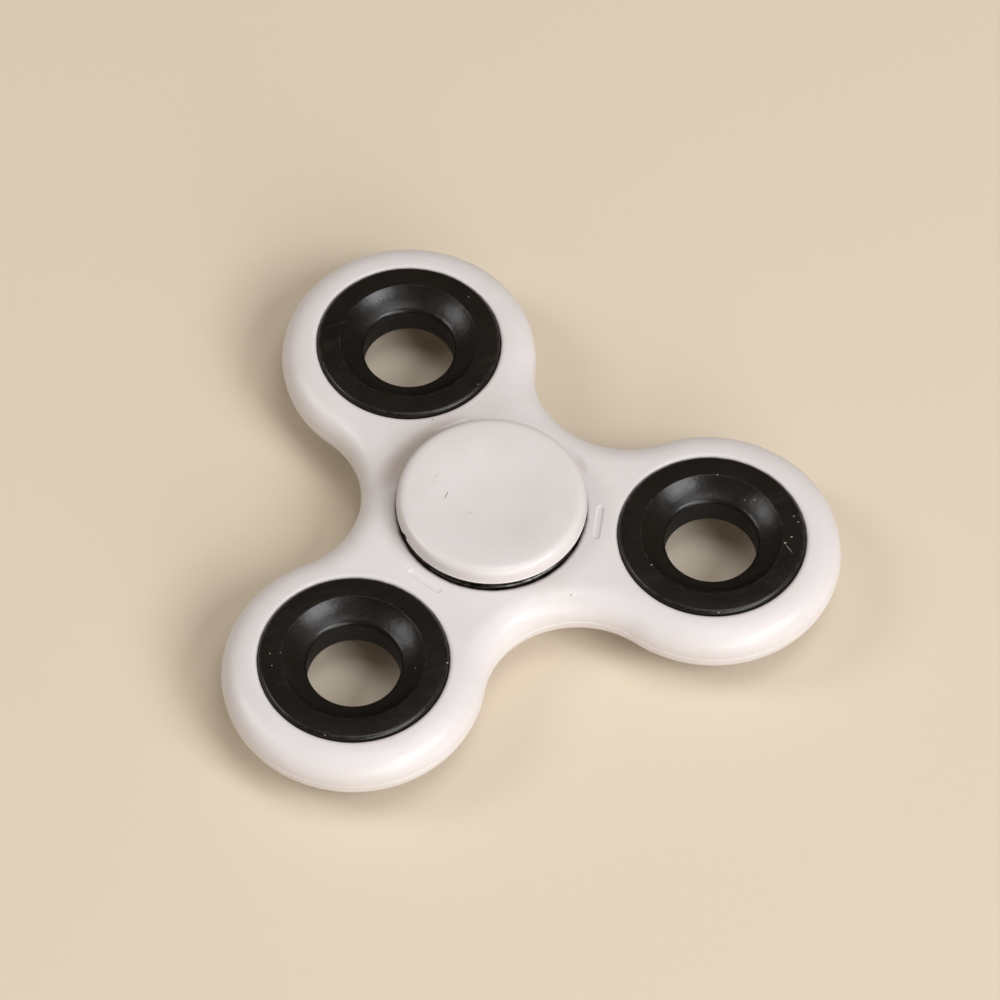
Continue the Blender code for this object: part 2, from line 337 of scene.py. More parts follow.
def hairlines(tree, lies, spacing, length, share, turn):
    """Fine straight scratches at one angle, this long and about this far apart."""
    along = stretched(tree, lies, (spacing / length, 1.0, 1.0), turn)
    bent = add(tree, "TexNoise", {"Vector": lies, "Scale": each(9.0), "Detail": 1.0}).outputs["Color"]
    sway = {0: bent, 1: (0.0, 0.9 * MM, 0.0), 2: along}
    wavy = add(tree, "VectorMath", sway, operation="MULTIPLY_ADD").outputs[0]
    grid = {"Vector": wavy, "Scale": each(spacing), "Detail": 0.0}
    noise = add(tree, "TexNoise", grid).outputs["Fac"]
    sharp = {"Value": noise, "From Min": 1 - share, "From Max": 1.02 - share}
    return add(tree, "MapRange", sharp).outputs[0]


def from_axis(tree, lies, centre):
    """How far each point lies from an upright axis, in metres."""
    level = add(tree, "VectorMath", {0: lies, 1: (1, 1, 0)}, operation="MULTIPLY").outputs[0]
    flat = (centre[0] * MM, centre[1] * MM, 0)
    return add(tree, "VectorMath", {0: level, 1: flat}, operation="DISTANCE").outputs["Value"]


def band(tree, distance, radius, width):
    """1 on a circle of this radius, fading to 0 at this width to either side of it."""
    off = add(tree, "Math", {0: distance, 1: radius * MM}, operation="SUBTRACT").outputs[0]
    size = add(tree, "Math", {0: off}, operation="ABSOLUTE").outputs[0]
    fade = {"Value": size, "From Min": 0.0, "From Max": width * MM, "To Min": 1.0, "To Max": 0.0}
    return add(tree, "MapRange", fade, interpolation_type="SMOOTHSTEP").outputs[0]


def scaled(tree, value, factor):
    """A value times a number or another value."""
    return add(tree, "Math", {0: value, 1: factor}, operation="MULTIPLY", use_clamp=True).outputs[0]


def tinted(tree, colour, other, amount):
    """A colour, or colour socket, turned into another by an amount from 0 to 1."""
    # The Mix node's colour inputs are its seventh and eighth, and its colour output is its third.
    mix = add(tree, "Mix", {0: amount, 6: colour, 7: other}, data_type="RGBA")
    return mix.outputs[2]


# How far above and below its face a mark reaches, so that none is lost where the face dips.
MARK_DEPTH = 5.0


def marked(tree, lies, colour, marks):
    """A colour with small marks on it: each has two ends, a width, a colour and a strength."""
    for start, end, width, hex_colour, strength in marks:
        start = Vector(start)
        along = Vector(end) - start
        place = {"Vector": lies, "Location": (start + along / 2) * MM}
        place["Rotation"] = (0, 0, math.atan2(along.y, along.x))
        place["Scale"] = Vector((along.length + width, width, MARK_DEPTH)) / 2 * MM
        inside = add(tree, "Mapping", place, vector_type="TEXTURE").outputs["Vector"]
        away = add(tree, "VectorMath", {0: inside}, operation="LENGTH").outputs["Value"]
        fade = {"Value": away, "From Min": 1.0, "From Max": 0.35, "To Max": strength}
        amount = add(tree, "MapRange", fade, interpolation_type="SMOOTHSTEP").outputs[0]
        colour = tinted(tree, colour, linear(hex_colour), amount)
    return colour


def raised(tree, shader, heights):
    """Joins bumps one after another to the shader. Each is a height pattern and its rise in millimetres."""
    normal = None
    for height, rise in heights:
        inputs = {"Height": height, "Strength": 1.0, "Distance": rise * MM}
        if normal:
            inputs["Normal"] = normal
        normal = add(tree, "Bump", inputs).outputs["Normal"]
    tree.links.new(normal, shader.inputs["Normal"])


# ---------------------------------------------------------------- materials

def moulded_abs(name, colour, roughness, dirt_and_shade_circles, dirt_and_shade_amount, grit, marks):
    """White ABS, injection moulded: a soft satin shine, a faint moulded grain, and dirt and painted shade
    where parts meet.
    """
    made, tree, shader, lies = begun(name, roughness, ior=1.54)
    patches = clouds(tree, lies, 11.0, 0.0, 1.0)
    colour_now = tinted(tree, linear(colour), linear("#DED7D3"), scaled(tree, patches, 0.3))
    # Handling leaves a thin warm film in patches.
    film = clouds(tree, lies, 4.5, 0.0, 1.0, detail=5.0, spread=(0.5, 0.75))
    colour_now = tinted(tree, colour_now, linear("#D4C8BE"), scaled(tree, film, 0.18))
    ragged = clouds(tree, lies, 1.4, 0.15, 1.0, detail=4.0)
    # Each band darkens the colour round a seat: dirt in the weights' joints, and painted shade with some
    # dirt beside the cap.
    for centre, radius, width, hex_colour in dirt_and_shade_circles:
        ring = band(tree, from_axis(tree, lies, centre), radius, width)
        dirt = scaled(tree, scaled(tree, ring, ragged), dirt_and_shade_amount)
        colour_now = tinted(tree, colour_now, linear(hex_colour), dirt)
    dots = specks(tree, lies, 2.6, 0.34, grit, 3.0)
    colour_now = tinted(tree, colour_now, linear("#6E5A4A"), scaled(tree, dots, 0.75))
    scuffs = scaled(tree, hairlines(tree, lies, 0.35, 4.0, 0.24, 0.7), film)
    colour_now = tinted(tree, colour_now, linear("#CFC6C0"), scaled(tree, scuffs, 0.12))
    colour_now = marked(tree, lies, colour_now, marks)
    tree.links.new(colour_now, shader.inputs["Base Color"])
    worn = clouds(tree, lies, 3.0, roughness - 0.05, roughness + 0.07, detail=4.0)
    tree.links.new(worn, shader.inputs["Roughness"])
    # The real grain is nearer 0.05 mm, and is drawn coarser so that it shows.
    grain = clouds(tree, lies, 0.32, 0.0, 1.0, detail=2.0, spread=(0.3, 0.7))
    sink = clouds(tree, lies, 7.0, 0.0, 1.0, detail=1.0, spread=(0.3, 0.7))
    raised(tree, shader, [(sink, 0.03), (grain, 0.0022), (scuffs, -0.002)])
    shader.inputs["Subsurface Weight"].default_value = 0.08
    shader.inputs["Subsurface Radius"].default_value = (1.0, 0.75, 0.6)
    shader.inputs["Subsurface Scale"].default_value = 0.9 * MM
    return made


DUST = 0.02


def black_enamel(name, centre, marks):
    """Black enamel baked on turned steel: near black, glossy under fine wear, with dust, and lighter rubbed
    edges that are partly painted sheen.
    """
    made, tree, shader, lies = begun(name, 0.3, ior=1.46)
    distance = from_axis(tree, lies, centre)
    haze = clouds(tree, lies, 6.0, 0.0, 1.0, detail=2.0)
    colour_now = tinted(tree, linear("#0F0B07"), linear("#16110C"), haze)
    lines = [hairlines(tree, lies, 0.45, 5.0, 0.3, turn) for turn in (0.35, 1.45, 2.5)]
    scratched = lines[0]
    for more in lines[1:]:
        scratched = add(tree, "Math", {0: scratched, 1: more}, operation="MAXIMUM").outputs[0]
    patchy = clouds(tree, lies, 5.0, 0.0, 1.0, spread=(0.48, 0.62))
    scratched = scaled(tree, scratched, patchy)
    colour_now = tinted(tree, colour_now, linear("#3A3631"), scaled(tree, scratched, 0.16))
    ragged = clouds(tree, lies, 0.9, 0.0, 1.0, detail=4.0, spread=(0.45, 0.62))
    # A lighter line at the rim's crest and round the outer edge: partly rubbed wear, partly painted sheen
    # along the edges.
    for radius, width, amount in ((RIM_RADIUS + 0.05, 0.09, 0.1), (RING_OUTSIDE - 0.25, 0.2, 0.08)):
        rubbed_and_sheen = scaled(tree, scaled(tree, band(tree, distance, radius, width), ragged), amount)
        colour_now = tinted(tree, colour_now, linear("#8B847A"), rubbed_and_sheen)
    fine = specks(tree, lies, 0.9, 0.13, DUST, 7.0)
    coarse = specks(tree, lies, 2.4, 0.24, DUST * 1.6, 13.0)
    dirt = add(tree, "Math", {0: fine, 1: coarse}, operation="MAXIMUM").outputs[0]
    colour_now = tinted(tree, colour_now, linear("#CFC8BC"), scaled(tree, dirt, 0.8))
    colour_now = marked(tree, lies, colour_now, marks)
    tree.links.new(colour_now, shader.inputs["Base Color"])
    worn = clouds(tree, lies, 2.4, 0.27, 0.34, detail=4.0)
    # The coat is thin and dull inside the hole.
    hole = {"Value": distance, "From Min": (HOLE_RADIUS + 0.08) * MM, "From Max": HOLE_RADIUS * MM}
    dull = add(tree, "MapRange", hole).outputs[0]
    worn = add(tree, "Math", {0: worn, 1: scaled(tree, dull, 0.4)}).outputs[0]
    rough_now = add(tree, "Math", {0: worn, 1: scaled(tree, dirt, 0.5)}).outputs[0]
    tree.links.new(rough_now, shader.inputs["Roughness"])
    # Fine orange peel of the baked coat. The real ripple is about half this size.
    peel = clouds(tree, lies, 0.55, 0.0, 1.0, detail=2.0, spread=(0.3, 0.7))
    dents = clouds(tree, lies, 1.5, 0.0, 1.0, detail=3.0, spread=(0.3, 0.7))
    raised(tree, shader, [(dents, 0.014), (peel, 0.0055), (scratched, -0.0012), (dirt, 0.02)])
    return made


def ground_steel(name, colour, roughness, line_size, oil_and_shade_circles):
    """Bearing steel, ground while it turns: fine rings in the shine, and dark bands of old oil where dirt
    collects, on the outer race also painted shade under the cap.
    """
    made, tree, shader, lies = begun(name, roughness, metallic=1.0)
    distance = from_axis(tree, lies, (0, 0))
    height = add(tree, "SeparateXYZ", {"Vector": lies}).outputs["Z"]
    across = add(tree, "CombineXYZ", {"X": distance, "Z": height}).outputs["Vector"]
    # Grinding lines are a few hundredths of a millimetre apart, and are drawn coarser.
    rings = clouds(tree, across, line_size, 0.0, 1.0, detail=2.0, spread=(0.3, 0.7))
    colour_now = tinted(tree, linear(colour), linear("#8A8781"), scaled(tree, rings, 0.35))
    stain = clouds(tree, lies, 2.2, 0.0, 1.0, detail=5.0, spread=(0.5, 0.7))
    colour_now = tinted(tree, colour_now, linear("#6A5B49"), scaled(tree, stain, 0.3))
    ragged = clouds(tree, lies, 0.8, 0.7, 1.0, detail=4.0)
    # Each dark band is old oil; on the outer race's face it is also painted shade in the gap under the cap.
    for radius, width in oil_and_shade_circles:
        oil = scaled(tree, band(tree, distance, radius, width), ragged)
        colour_now = tinted(tree, colour_now, linear("#15110D"), oil)
    tree.links.new(colour_now, shader.inputs["Base Color"])
    worn = clouds(tree, across, line_size * 3, roughness - 0.06, roughness + 0.08, detail=3.0)
    tree.links.new(worn, shader.inputs["Roughness"])
    raised(tree, shader, [(rings, 0.002)])
    return made


def lapped_steel(name):
    """Chrome steel ball, lapped: a mirror with only hair scratches and a trace of oil."""
    made, tree, shader, lies = begun(name, 0.07, metallic=1.0)
    oil = clouds(tree, lies, 1.3, 0.0, 1.0, detail=4.0, spread=(0.5, 0.75))
    colour_now = tinted(tree, linear("#C9C9C8"), linear("#9A9287"), scaled(tree, oil, 0.5))
    tree.links.new(colour_now, shader.inputs["Base Color"])
    tree.links.new(clouds(tree, lies, 0.8, 0.05, 0.16, detail=4.0), shader.inputs["Roughness"])
    lines = hairlines(tree, lies, 0.2, 2.5, 0.25, 0.4)
    raised(tree, shader, [(lines, -0.001)])
    return made


def pressed_steel(name, colour, roughness, stain_colour):
    """Mild steel strip, pressed and tumbled: a dull grey shine with small pits and oily stains."""
    made, tree, shader, lies = begun(name, roughness, metallic=1.0)
    stain = clouds(tree, lies, 1.8, 0.0, 1.0, detail=5.0, spread=(0.45, 0.7))
    colour_now = tinted(tree, linear(colour), linear(stain_colour), scaled(tree, stain, 0.55))
    pits = specks(tree, lies, 0.5, 0.16, 0.35, 5.0)
    colour_now = tinted(tree, colour_now, linear("#3B3730"), scaled(tree, pits, 0.6))
    tree.links.new(colour_now, shader.inputs["Base Color"])
    worn = clouds(tree, lies, 0.7, roughness - 0.08, roughness + 0.12, detail=4.0)
    tree.links.new(worn, shader.inputs["Roughness"])
    tumbled = clouds(tree, lies, 0.18, 0.0, 1.0, detail=2.0, spread=(0.3, 0.7))
    raised(tree, shader, [(tumbled, 0.002), (pits, -0.012)])
    return made


# Dirt and painted shade round each seat: its middle, its radius, how far it spreads and its colour.
# Round the bearing's seat the dark brown band is mostly painted shade beside and under the cap's edge, with
# some dirt.
SEAT_DIRT_AND_SHADE = [((0, 0), SEAT_RADIUS + 0.12, 0.34, "#6B4526")]
# Round the weights' seats a thinner band of dirt lies in the joint.
SEAT_DIRT_AND_SHADE += [((centre.x, centre.y), SEAT_RADIUS + 0.02, 0.2, "#6E5138") for centre in LOBE_CENTRES]
# Each mark: where it starts and ends, its width, its colour and its strength.
CAP_MARKS = [
    ((-5.4, 1.4, CAP_TOP), (-4.4, 2.5, CAP_TOP), 0.18, "#8A3F3E", 0.8),
    ((-5.5, 4.6, CAP_TOP), (-4.5, 5.1, CAP_TOP), 0.16, "#A79E97", 0.5),
    ((-5.7, 3.8, CAP_TOP), (-5.5, 4.6, CAP_TOP), 0.14, "#B5ACA5", 0.5),
    ((-3.3, -1.3, CAP_TOP), (-3.2, -1.2, CAP_TOP), 0.26, "#9B9087", 0.5),
]
FRAME_MARKS = [
    ((4.0, -14.3, FRAME_HALF), (4.1, -14.2, FRAME_HALF), 0.26, "#6E6157", 0.7),
    ((12.0, -8.8, FRAME_HALF), (12.1, -8.8, FRAME_HALF), 0.2, "#8A7C70", 0.6),
    ((-1.6, 14.4, FRAME_HALF), (-1.5, 14.4, FRAME_HALF), 0.3, "#8A7C70", 0.6),
    ((12.3, 0.6, FRAME_HALF), (12.3, 3.2, FRAME_HALF), 1.3, "#A98E70", 0.18),
    # The wide brown patch between the cap and the first weight is painted shade beside the cap.
    ((-10.5, 8.4, FRAME_HALF), (0.5, 13.2, FRAME_HALF), 5.4, "#A98E70", 0.42),
]
LINT_COLOUR = "#A9A49B"
# Each piece of lint: how far from the weight's middle, in which direction in degrees, and its size.
LINT = [
    [(9.6, 20, 0.16), (10.4, -60, 0.14), (7.4, 100, 0.12)],
    [
        (9.6, 155, 0.17), (8.4, 154, 0.14), (9.4, 165, 0.16),
        (7.1, -30, 0.18), (10.7, -26, 0.24), (10.8, -129, 0.14),
    ],
    [
        (8.3, 62, 0.19), (6.7, 31, 0.17), (7.3, 23, 0.2), (9.9, -8, 0.2), (10.2, -13, 0.2),
        (9.2, -25, 0.26), (8.5, -31, 0.3), (10.8, -110, 0.18), (8.4, -171, 0.22),
    ],
]
# The scratch: radius and direction of each end, and its width.
SCRATCH = (8.5, -31, 9.8, -39, 0.12)


def lint_marks(centre, lint):
    """Marks for the lint that lies on one weight."""
    middle = Vector((centre.x, centre.y, RING_HALF))
    spots = [(middle + polar(radius, math.radians(angle)), size) for radius, angle, size in lint]
    return [(spot, spot + Vector((size / 2, 0, 0)), size, LINT_COLOUR, 0.85) for spot, size in spots]


def scratch_mark(centre, scratch):
    """The mark of one straight scratch on a weight."""
    near, near_angle, far, far_angle, width = scratch
    middle = Vector((centre.x, centre.y, RING_HALF))
    start = middle + polar(near, math.radians(near_angle))
    return (start, middle + polar(far, math.radians(far_angle)), width, LINT_COLOUR, 0.6)


ENAMEL_MARKS = [lint_marks(centre, lint) for centre, lint in zip(LOBE_CENTRES, LINT)]
ENAMEL_MARKS[2].append(scratch_mark(LOBE_CENTRES[2], SCRATCH))
FRAME_ABS = moulded_abs("white_moulded_abs", "#E8E2E1", 0.36, SEAT_DIRT_AND_SHADE, 0.8, 0.03, FRAME_MARKS)
CAP_ABS = moulded_abs("white_cap_abs", "#E6E0DE", 0.33, [], 0.0, 0.02, CAP_MARKS)
ENAMELS = [
    black_enamel(f"black_enamel_{number}", (centre.x, centre.y), marks)
    for number, (centre, marks) in enumerate(zip(LOBE_CENTRES, ENAMEL_MARKS), 1)
]
# The near-black band on the outer race's face is painted shade in the gap under the cap, with old oil.
RACE_STEEL = ground_steel("ground_bearing_steel", "#B4B3AF", 0.24, 0.16, [(BEARING_OUTSIDE - 0.15, 1.1)])
SHIELD_STEEL = ground_steel("pressed_shield_steel", "#A9A8A3", 0.3, 0.3, [(SHIELD_SEAT, 0.4)])
BALL_STEEL = lapped_steel("lapped_ball_steel")
CAGE_STEEL = pressed_steel("pressed_cage_steel", "#A39F96", 0.38, "#6F6250")
CLIP_STEEL = pressed_steel("drawn_spring_steel", "#6C6B68", 0.3, "#40403F")


# ---------------------------------------------------------------- the moulded frame

def frame_outline(inset):
    """The frame's outline, this far inside its widest: a round lobe and a hollow waist, three times."""
    lobe_steps = 120
    waist_steps = 48
    hollow = (WAIST**2 + LOBE_REACH**2 - LOBE_REACH * WAIST - LOBE_RADIUS**2) / (
        2 * LOBE_RADIUS - 2 * WAIST + LOBE_REACH
    )
    hollow_centre = WAIST + hollow
    across = math.asin(hollow_centre * math.sin(LOBE_STEP / 2) / (LOBE_RADIUS + hollow))
    lobe_half = math.pi - across
    waist_half = math.pi - LOBE_STEP / 2 - across
    outline = []
    for centre, angle in zip(LOBE_CENTRES, LOBE_ANGLES):
        outline += arc(centre, LOBE_RADIUS - inset, angle - lobe_half, angle + lobe_half, lobe_steps)
        facing = angle + LOBE_STEP / 2
        back = facing + math.pi
        waist = polar(hollow_centre, facing)
        outline += arc(waist, hollow + inset, back + waist_half, back - waist_half, waist_steps)
    return outline


def side_rows():
    """(inset, height) of the frame's side from its lower face to its upper one, with the parting line."""
    rows = 18
    ease = 1.15
    # The parting line stands out a little, and nothing else comes this near the middle.
    seam = [(0.0, 0.12), (0.0, 0.07), (-0.05, 0.025)]
    seam_top = 0.15
    upper = []
    for row in range(1, rows + 1):
        turn = math.pi / 2 * (row / rows) ** ease
        inset = SIDE_DEPTH * (1 - max(math.cos(turn), 0.0) ** (2 / SIDE_POWER))
        height = FRAME_HALF * math.sin(turn) ** (2 / SIDE_POWER)
        if height > seam_top:
            upper.append((inset, height))
    upper_half = seam[::-1] + upper
    return [(inset, -height) for inset, height in reversed(upper_half)] + upper_half


def seat_cutter(number, centre):
    """A cylinder that flares at both faces, so that the seat it bores has a rounded mouth."""
    tall = FRAME_HALF * 2
    steps = 10
    mouth = []
    for step in range(steps + 1):
        turn = math.pi / 2 * step / steps
        out = SEAT_RADIUS + MOUTH_WIDTH * (1 - math.cos(turn))
        mouth.append((out, FRAME_HALF - MOUTH_DEPTH * (1 - math.sin(turn))))
    upper = [(0, tall), (mouth[-1][0], tall)] + mouth[::-1]
    profile = upper + [(radius, -height) for radius, height in reversed(upper)]
    return turned(f"seat_{number}", profile, None, centre, closed=False)


def slot_cutter(angle, side):
    """A shallow slot with round ends and soft walls, across the web between the bearing and a lobe."""
    builder = bmesh.new()
    rows = []
    half = (SLOT_LENGTH - SLOT_WIDTH) / 2
    steps = 6
    end_steps = 12
    across_wall = [step / steps for step in range(steps)]
    walls = [(across, -SLOT_DEPTH * (1 + math.cos(math.pi * across)) / 2) for across in across_wall]
    walls += [(1.0, 0.0), (1.5, 0.5)]
    for across, depth in walls:
        radius = SLOT_WIDTH / 2 - SLOT_SOFT * (1 - across)
        ends = arc(Vector((0, half, 0)), radius, 0, math.pi, end_steps)
        ends += arc(Vector((0, -half, 0)), radius, math.pi, 2 * math.pi, end_steps)
        turn = Matrix.Rotation(angle, 3, "Z")
        row = []
        for point in ends:
            at = turn @ Vector((point.x + SLOT_RADIUS, point.y, 0))
            row.append(builder.verts.new(Vector((at.x, at.y, side * (FRAME_HALF + depth))) * MM))
        rows.append(row)
    skinned(builder, rows)
    builder.faces.new(rows[-1])
    builder.faces.new(rows[0][::-1])
    bmesh.ops.recalc_face_normals(builder, faces=builder.faces)
    return finished("slot", builder, None)


def moulded_frame():
    """The frame: its rolled side, four bored seats, and a shallow slot in each web on both faces."""
    builder = bmesh.new()
    rows = []
    for inset, height in side_rows():
        rows.append([builder.verts.new(Vector((p.x, p.y, height)) * MM) for p in frame_outline(inset)])
    skinned(builder, rows)
    builder.faces.new(rows[-1])
    builder.faces.new(reversed(rows[0]))
    piece = finished("moulded_frame", builder, FRAME_ABS)
    for number, centre in enumerate([Vector((0, 0, 0))] + LOBE_CENTRES):
        bored(piece, seat_cutter(number, (centre.x, centre.y, 0)))
    for angle in LOBE_ANGLES:
        for side in (1, -1):
            bored(piece, slot_cutter(angle, side))
    smoothed(piece, crisp=40)
    weighted = piece.modifiers.new("even_shading", "WEIGHTED_NORMAL")
    weighted.keep_sharp = True
    weighted.weight = 90
    settled(piece)
    return stands_for(piece, "body_frame", "spinner")


# ---------------------------------------------------------------- the weights

def bowl():
    """(radius, height) from the rim down the bowl and over the lip to the hole's wall."""
    steps = 10
    hollow = (RIM_RADIUS - BOWL_FOOT) / (math.sin(RIM_SLOPE) - math.sin(FOOT_SLOPE))
    points = []
    for step in range(1, steps + 1):
        slope = RIM_SLOPE + (FOOT_SLOPE - RIM_SLOPE) * step / steps
        radius = RIM_RADIUS - hollow * (math.sin(RIM_SLOPE) - math.sin(slope))
        points.append((radius, RING_HALF - hollow * (math.cos(slope) - math.cos(RIM_SLOPE))))
    lip = (BOWL_FOOT - HOLE_RADIUS) / (1 - math.sin(FOOT_SLOPE))
    middle = points[-1][1] - lip * math.cos(FOOT_SLOPE)
    for step in range(1, steps + 1):
        slope = FOOT_SLOPE + (math.pi / 2 - FOOT_SLOPE) * step / steps
        points.append((HOLE_RADIUS + lip * (1 - math.sin(slope)), middle + lip * math.cos(slope)))
    return points


def weights():
    """Rim, bowl and rounded hole, the same on both faces."""
    outer_round = 0.5
    rim_round = 0.13
    outside = RING_OUTSIDE + 0.02
    inside = [(RIM_RADIUS, RING_HALF, rim_round)] + [(radius, height, 0) for radius, height in bowl()]
    lower = [(radius, -height, round_by) for radius, height, round_by in inside]
    corners = [(outside, RING_HALF, outer_round), (outside, -RING_HALF, outer_round)]
    profile = rounded(corners + lower + inside[::-1])
    for number, (centre, enamel) in enumerate(zip(LOBE_CENTRES, ENAMELS), 1):
        piece = turned(f"weight_{number}", profile, enamel, (centre.x, centre.y, 0), crisp=50)
        stands_for(piece, f"weight_ring_{number}", "spinner")


# ---------------------------------------------------------------- the bearing

def race(bottom, shoulder, outward):
    """Half of a race groove, from its shoulder to its bottom, as (radius, height, corner radius)."""
    centre = bottom - outward * RACE_RADIUS
    edge = math.acos((shoulder - centre) * outward / RACE_RADIUS)
    steps = 8
    turns = [edge * (1 - step / steps) for step in range(steps + 1)]
    reach = outward * RACE_RADIUS
    return [(centre + reach * math.cos(turn), RACE_RADIUS * math.sin(turn), 0) for turn in turns]


def bearing_rings():
    """The outer ring with its shield seats and clip grooves, and the inner ring."""
    bottom = PITCH_RADIUS + BALL_RADIUS + RACE_CLEARANCE
    groove_top = CLIP_HEIGHT + CLIP_WIRE
    groove_foot = CLIP_HEIGHT - CLIP_WIRE
    flare = 0.06
    seat = 2.5
    upper = [(SHIELD_SEAT, BEARING_HALF, 0.08), (SHIELD_SEAT, groove_top + flare, 0)]
    upper += [(GROOVE_RADIUS, groove_top, 0.1), (GROOVE_RADIUS, groove_foot, 0.1)]
    upper += [(SHIELD_SEAT, groove_foot - flare, 0), (SHIELD_SEAT, seat, 0), (OUTER_SHOULDER, seat, 0.1)]
    upper += race(bottom, OUTER_SHOULDER, 1)
    lower = [(radius, -height, round_by) for radius, height, round_by in upper[:-1]]
    corners = [(BEARING_OUTSIDE, BEARING_HALF, 0.35), (BEARING_OUTSIDE, -BEARING_HALF, 0.35)]
    outer = turned("outer_race", rounded(corners + lower + upper[::-1]), RACE_STEEL)
    stands_for(outer, "bearing_outer_ring", "spinner")

    bottom = PITCH_RADIUS - BALL_RADIUS - RACE_CLEARANCE
    upper = [(BORE_RADIUS, BEARING_HALF, 0.25), (INNER_SHOULDER, BEARING_HALF, 0.22)]
    upper += race(bottom, INNER_SHOULDER, -1)
    lower = [(radius, -height, round_by) for radius, height, round_by in reversed(upper[:-1])]
    inner = turned("inner_race", rounded(upper[1:] + lower + upper[:1]), RACE_STEEL)
    stands_for(inner, "bearing_inner_ring", "hub")


def shields():
    """On each side a pressed shield with a stiffening bead, and the sprung wire that holds it."""
    sheet = 0.28
    # Radius, height and corner radius, from the inner edge over the bead to the edge in its seat.
    top = [(6.4, 3.03, 0.1), (6.75, 3.03, 0.2), (6.95, 2.93, 0.2), (7.7, 2.93, 0.2), (7.9, 3.03, 0.2)]
    top += [(8.7, 3.03, 0.2), (9.0, 2.83, 0.15), (9.58, 2.83, 0.08)]
    underside = [(radius, height - sheet, round_by) for radius, height, round_by in reversed(top)]
    profile = rounded(top[-1:] + underside + top[:-1])
    for label in ("upper", "lower"):
        shield = turned(f"shield_{label}", profile, SHIELD_STEEL)
        wire = clip(f"clip_{label}")
        if label == "lower":
            turned_over(shield)
            turned_over(wire)
        stands_for(shield, f"bearing_shield_{label}", "spinner")
        stands_for(wire, f"shield_clip_{label}", "spinner")


def clip(name):
    """An open ring of round wire with rounded ends."""
    circle = 9.72
    gap = math.radians(13)
    steps = 160
    sides = 12
    builder = bmesh.new()
    rows = []
    # Each end narrows over two stations, an angle and a share of the wire's thickness.
    ends = [(gap - 0.014, 0.35), (gap - 0.008, 0.8)]
    stations = ends + [(gap + (2 * math.pi - 2 * gap) * step / steps, 1.0) for step in range(steps + 1)]
    stations += [(2 * math.pi - angle, thick) for angle, thick in reversed(ends)]
    for angle, thick in stations:
        row = []
        for side in range(sides):
            turn = 2 * math.pi * side / sides
            wire = CLIP_WIRE * thick
            at = polar(circle + wire * math.cos(turn), angle, CLIP_HEIGHT + wire * math.sin(turn))
            row.append(builder.verts.new(at * MM))
        rows.append(row)
    skinned(builder, rows)
    builder.faces.new(rows[0][::-1])
    builder.faces.new(rows[-1])
    bmesh.ops.recalc_face_normals(builder, faces=builder.faces)
    return finished(name, builder, CLIP_STEEL)


def balls():
    """Seven balls in the race, each turned from a half circle."""
    steps = 24
    turns = [math.pi * step / steps for step in range(steps + 1)]
    profile = [(BALL_RADIUS * math.sin(turn), BALL_RADIUS * math.cos(turn)) for turn in turns]
    for number in range(1, BALLS + 1):
        centre = middle_of(f"bearing_ball_{number}")
        ball = turned(f"ball_{number}", profile, BALL_STEEL, centre, steps=48, closed=False)
        stands_for(ball, f"bearing_ball_{number}", f"ball_{number}")


def cage_height(radius, angle, flat, over):
    """How high the middle of the pressed strip stands: flat by the rivets, domed over each ball."""
    step = 2 * math.pi / BALLS
    nearest = round(angle / step) * step
    off = (polar(radius, angle) - polar(PITCH_RADIUS, nearest)).length
    dome = math.sqrt(max(over**2 - off**2, 0.0))
    blend = 0.15
    return max(flat, dome) + blend * math.exp(-abs(dome - flat) / blend) * 0.5


def cage():
    """Two pressed halves, and a rivet through both between each two balls."""
    sheet = 0.35
    flat = 0.2
    clearance = 0.12
    over = BALL_RADIUS + clearance + sheet / 2
    inside = 6.7
    across = 6
    around = BALLS * 36
    for label, side in (("upper", 1), ("lower", -1)):
        builder = bmesh.new()
        rows = []
        for lane in range(across + 1):
            radius = inside + (CAGE_RADIUS - inside) * lane / across
            row = []
            for step in range(around):
                angle = 2 * math.pi * step / around
                height = side * cage_height(radius, angle, flat, over)
                row.append(builder.verts.new(polar(radius, angle, height) * MM))
            rows.append(row)
        skinned(builder, rows)
        bmesh.ops.recalc_face_normals(builder, faces=builder.faces)
        piece = finished(f"cage_half_{label}", builder, CAGE_STEEL)
        strip = piece.modifiers.new("strip", "SOLIDIFY")
        strip.thickness = sheet * MM
        strip.offset = 0
        softened = piece.modifiers.new("edge", "BEVEL")
        softened.width = 0.06 * MM
        softened.segments = 2
        settled(piece)
        smoothed(piece, crisp=45)
        stands_for(piece, f"cage_{label}", "cage")
    # A rivet's domed head, from its crown down to its shank.
    head = flat + sheet / 2 + 0.05
    head_radius = 0.55
    shank = 0.3
    upper = [(0, head + 0.28, 0), (shank, head + 0.26, 0.2), (head_radius, head + 0.1, 0.15)]
    upper += [(head_radius, head, 0), (shank, head, 0)]
    lower = [(radius, -height, round_by) for radius, height, round_by in upper[::-1]]
    rivet_profile = rounded(upper + lower, closed=False)
    for number in range(1, BALLS + 1):
        centre = middle_of(f"cage_rivet_{number}")
        rivet = turned(f"rivet_{number}", rivet_profile, CAGE_STEEL, centre, steps=32, closed=False)
        stands_for(rivet, f"cage_rivet_{number}", "cage")


# ---------------------------------------------------------------- the caps

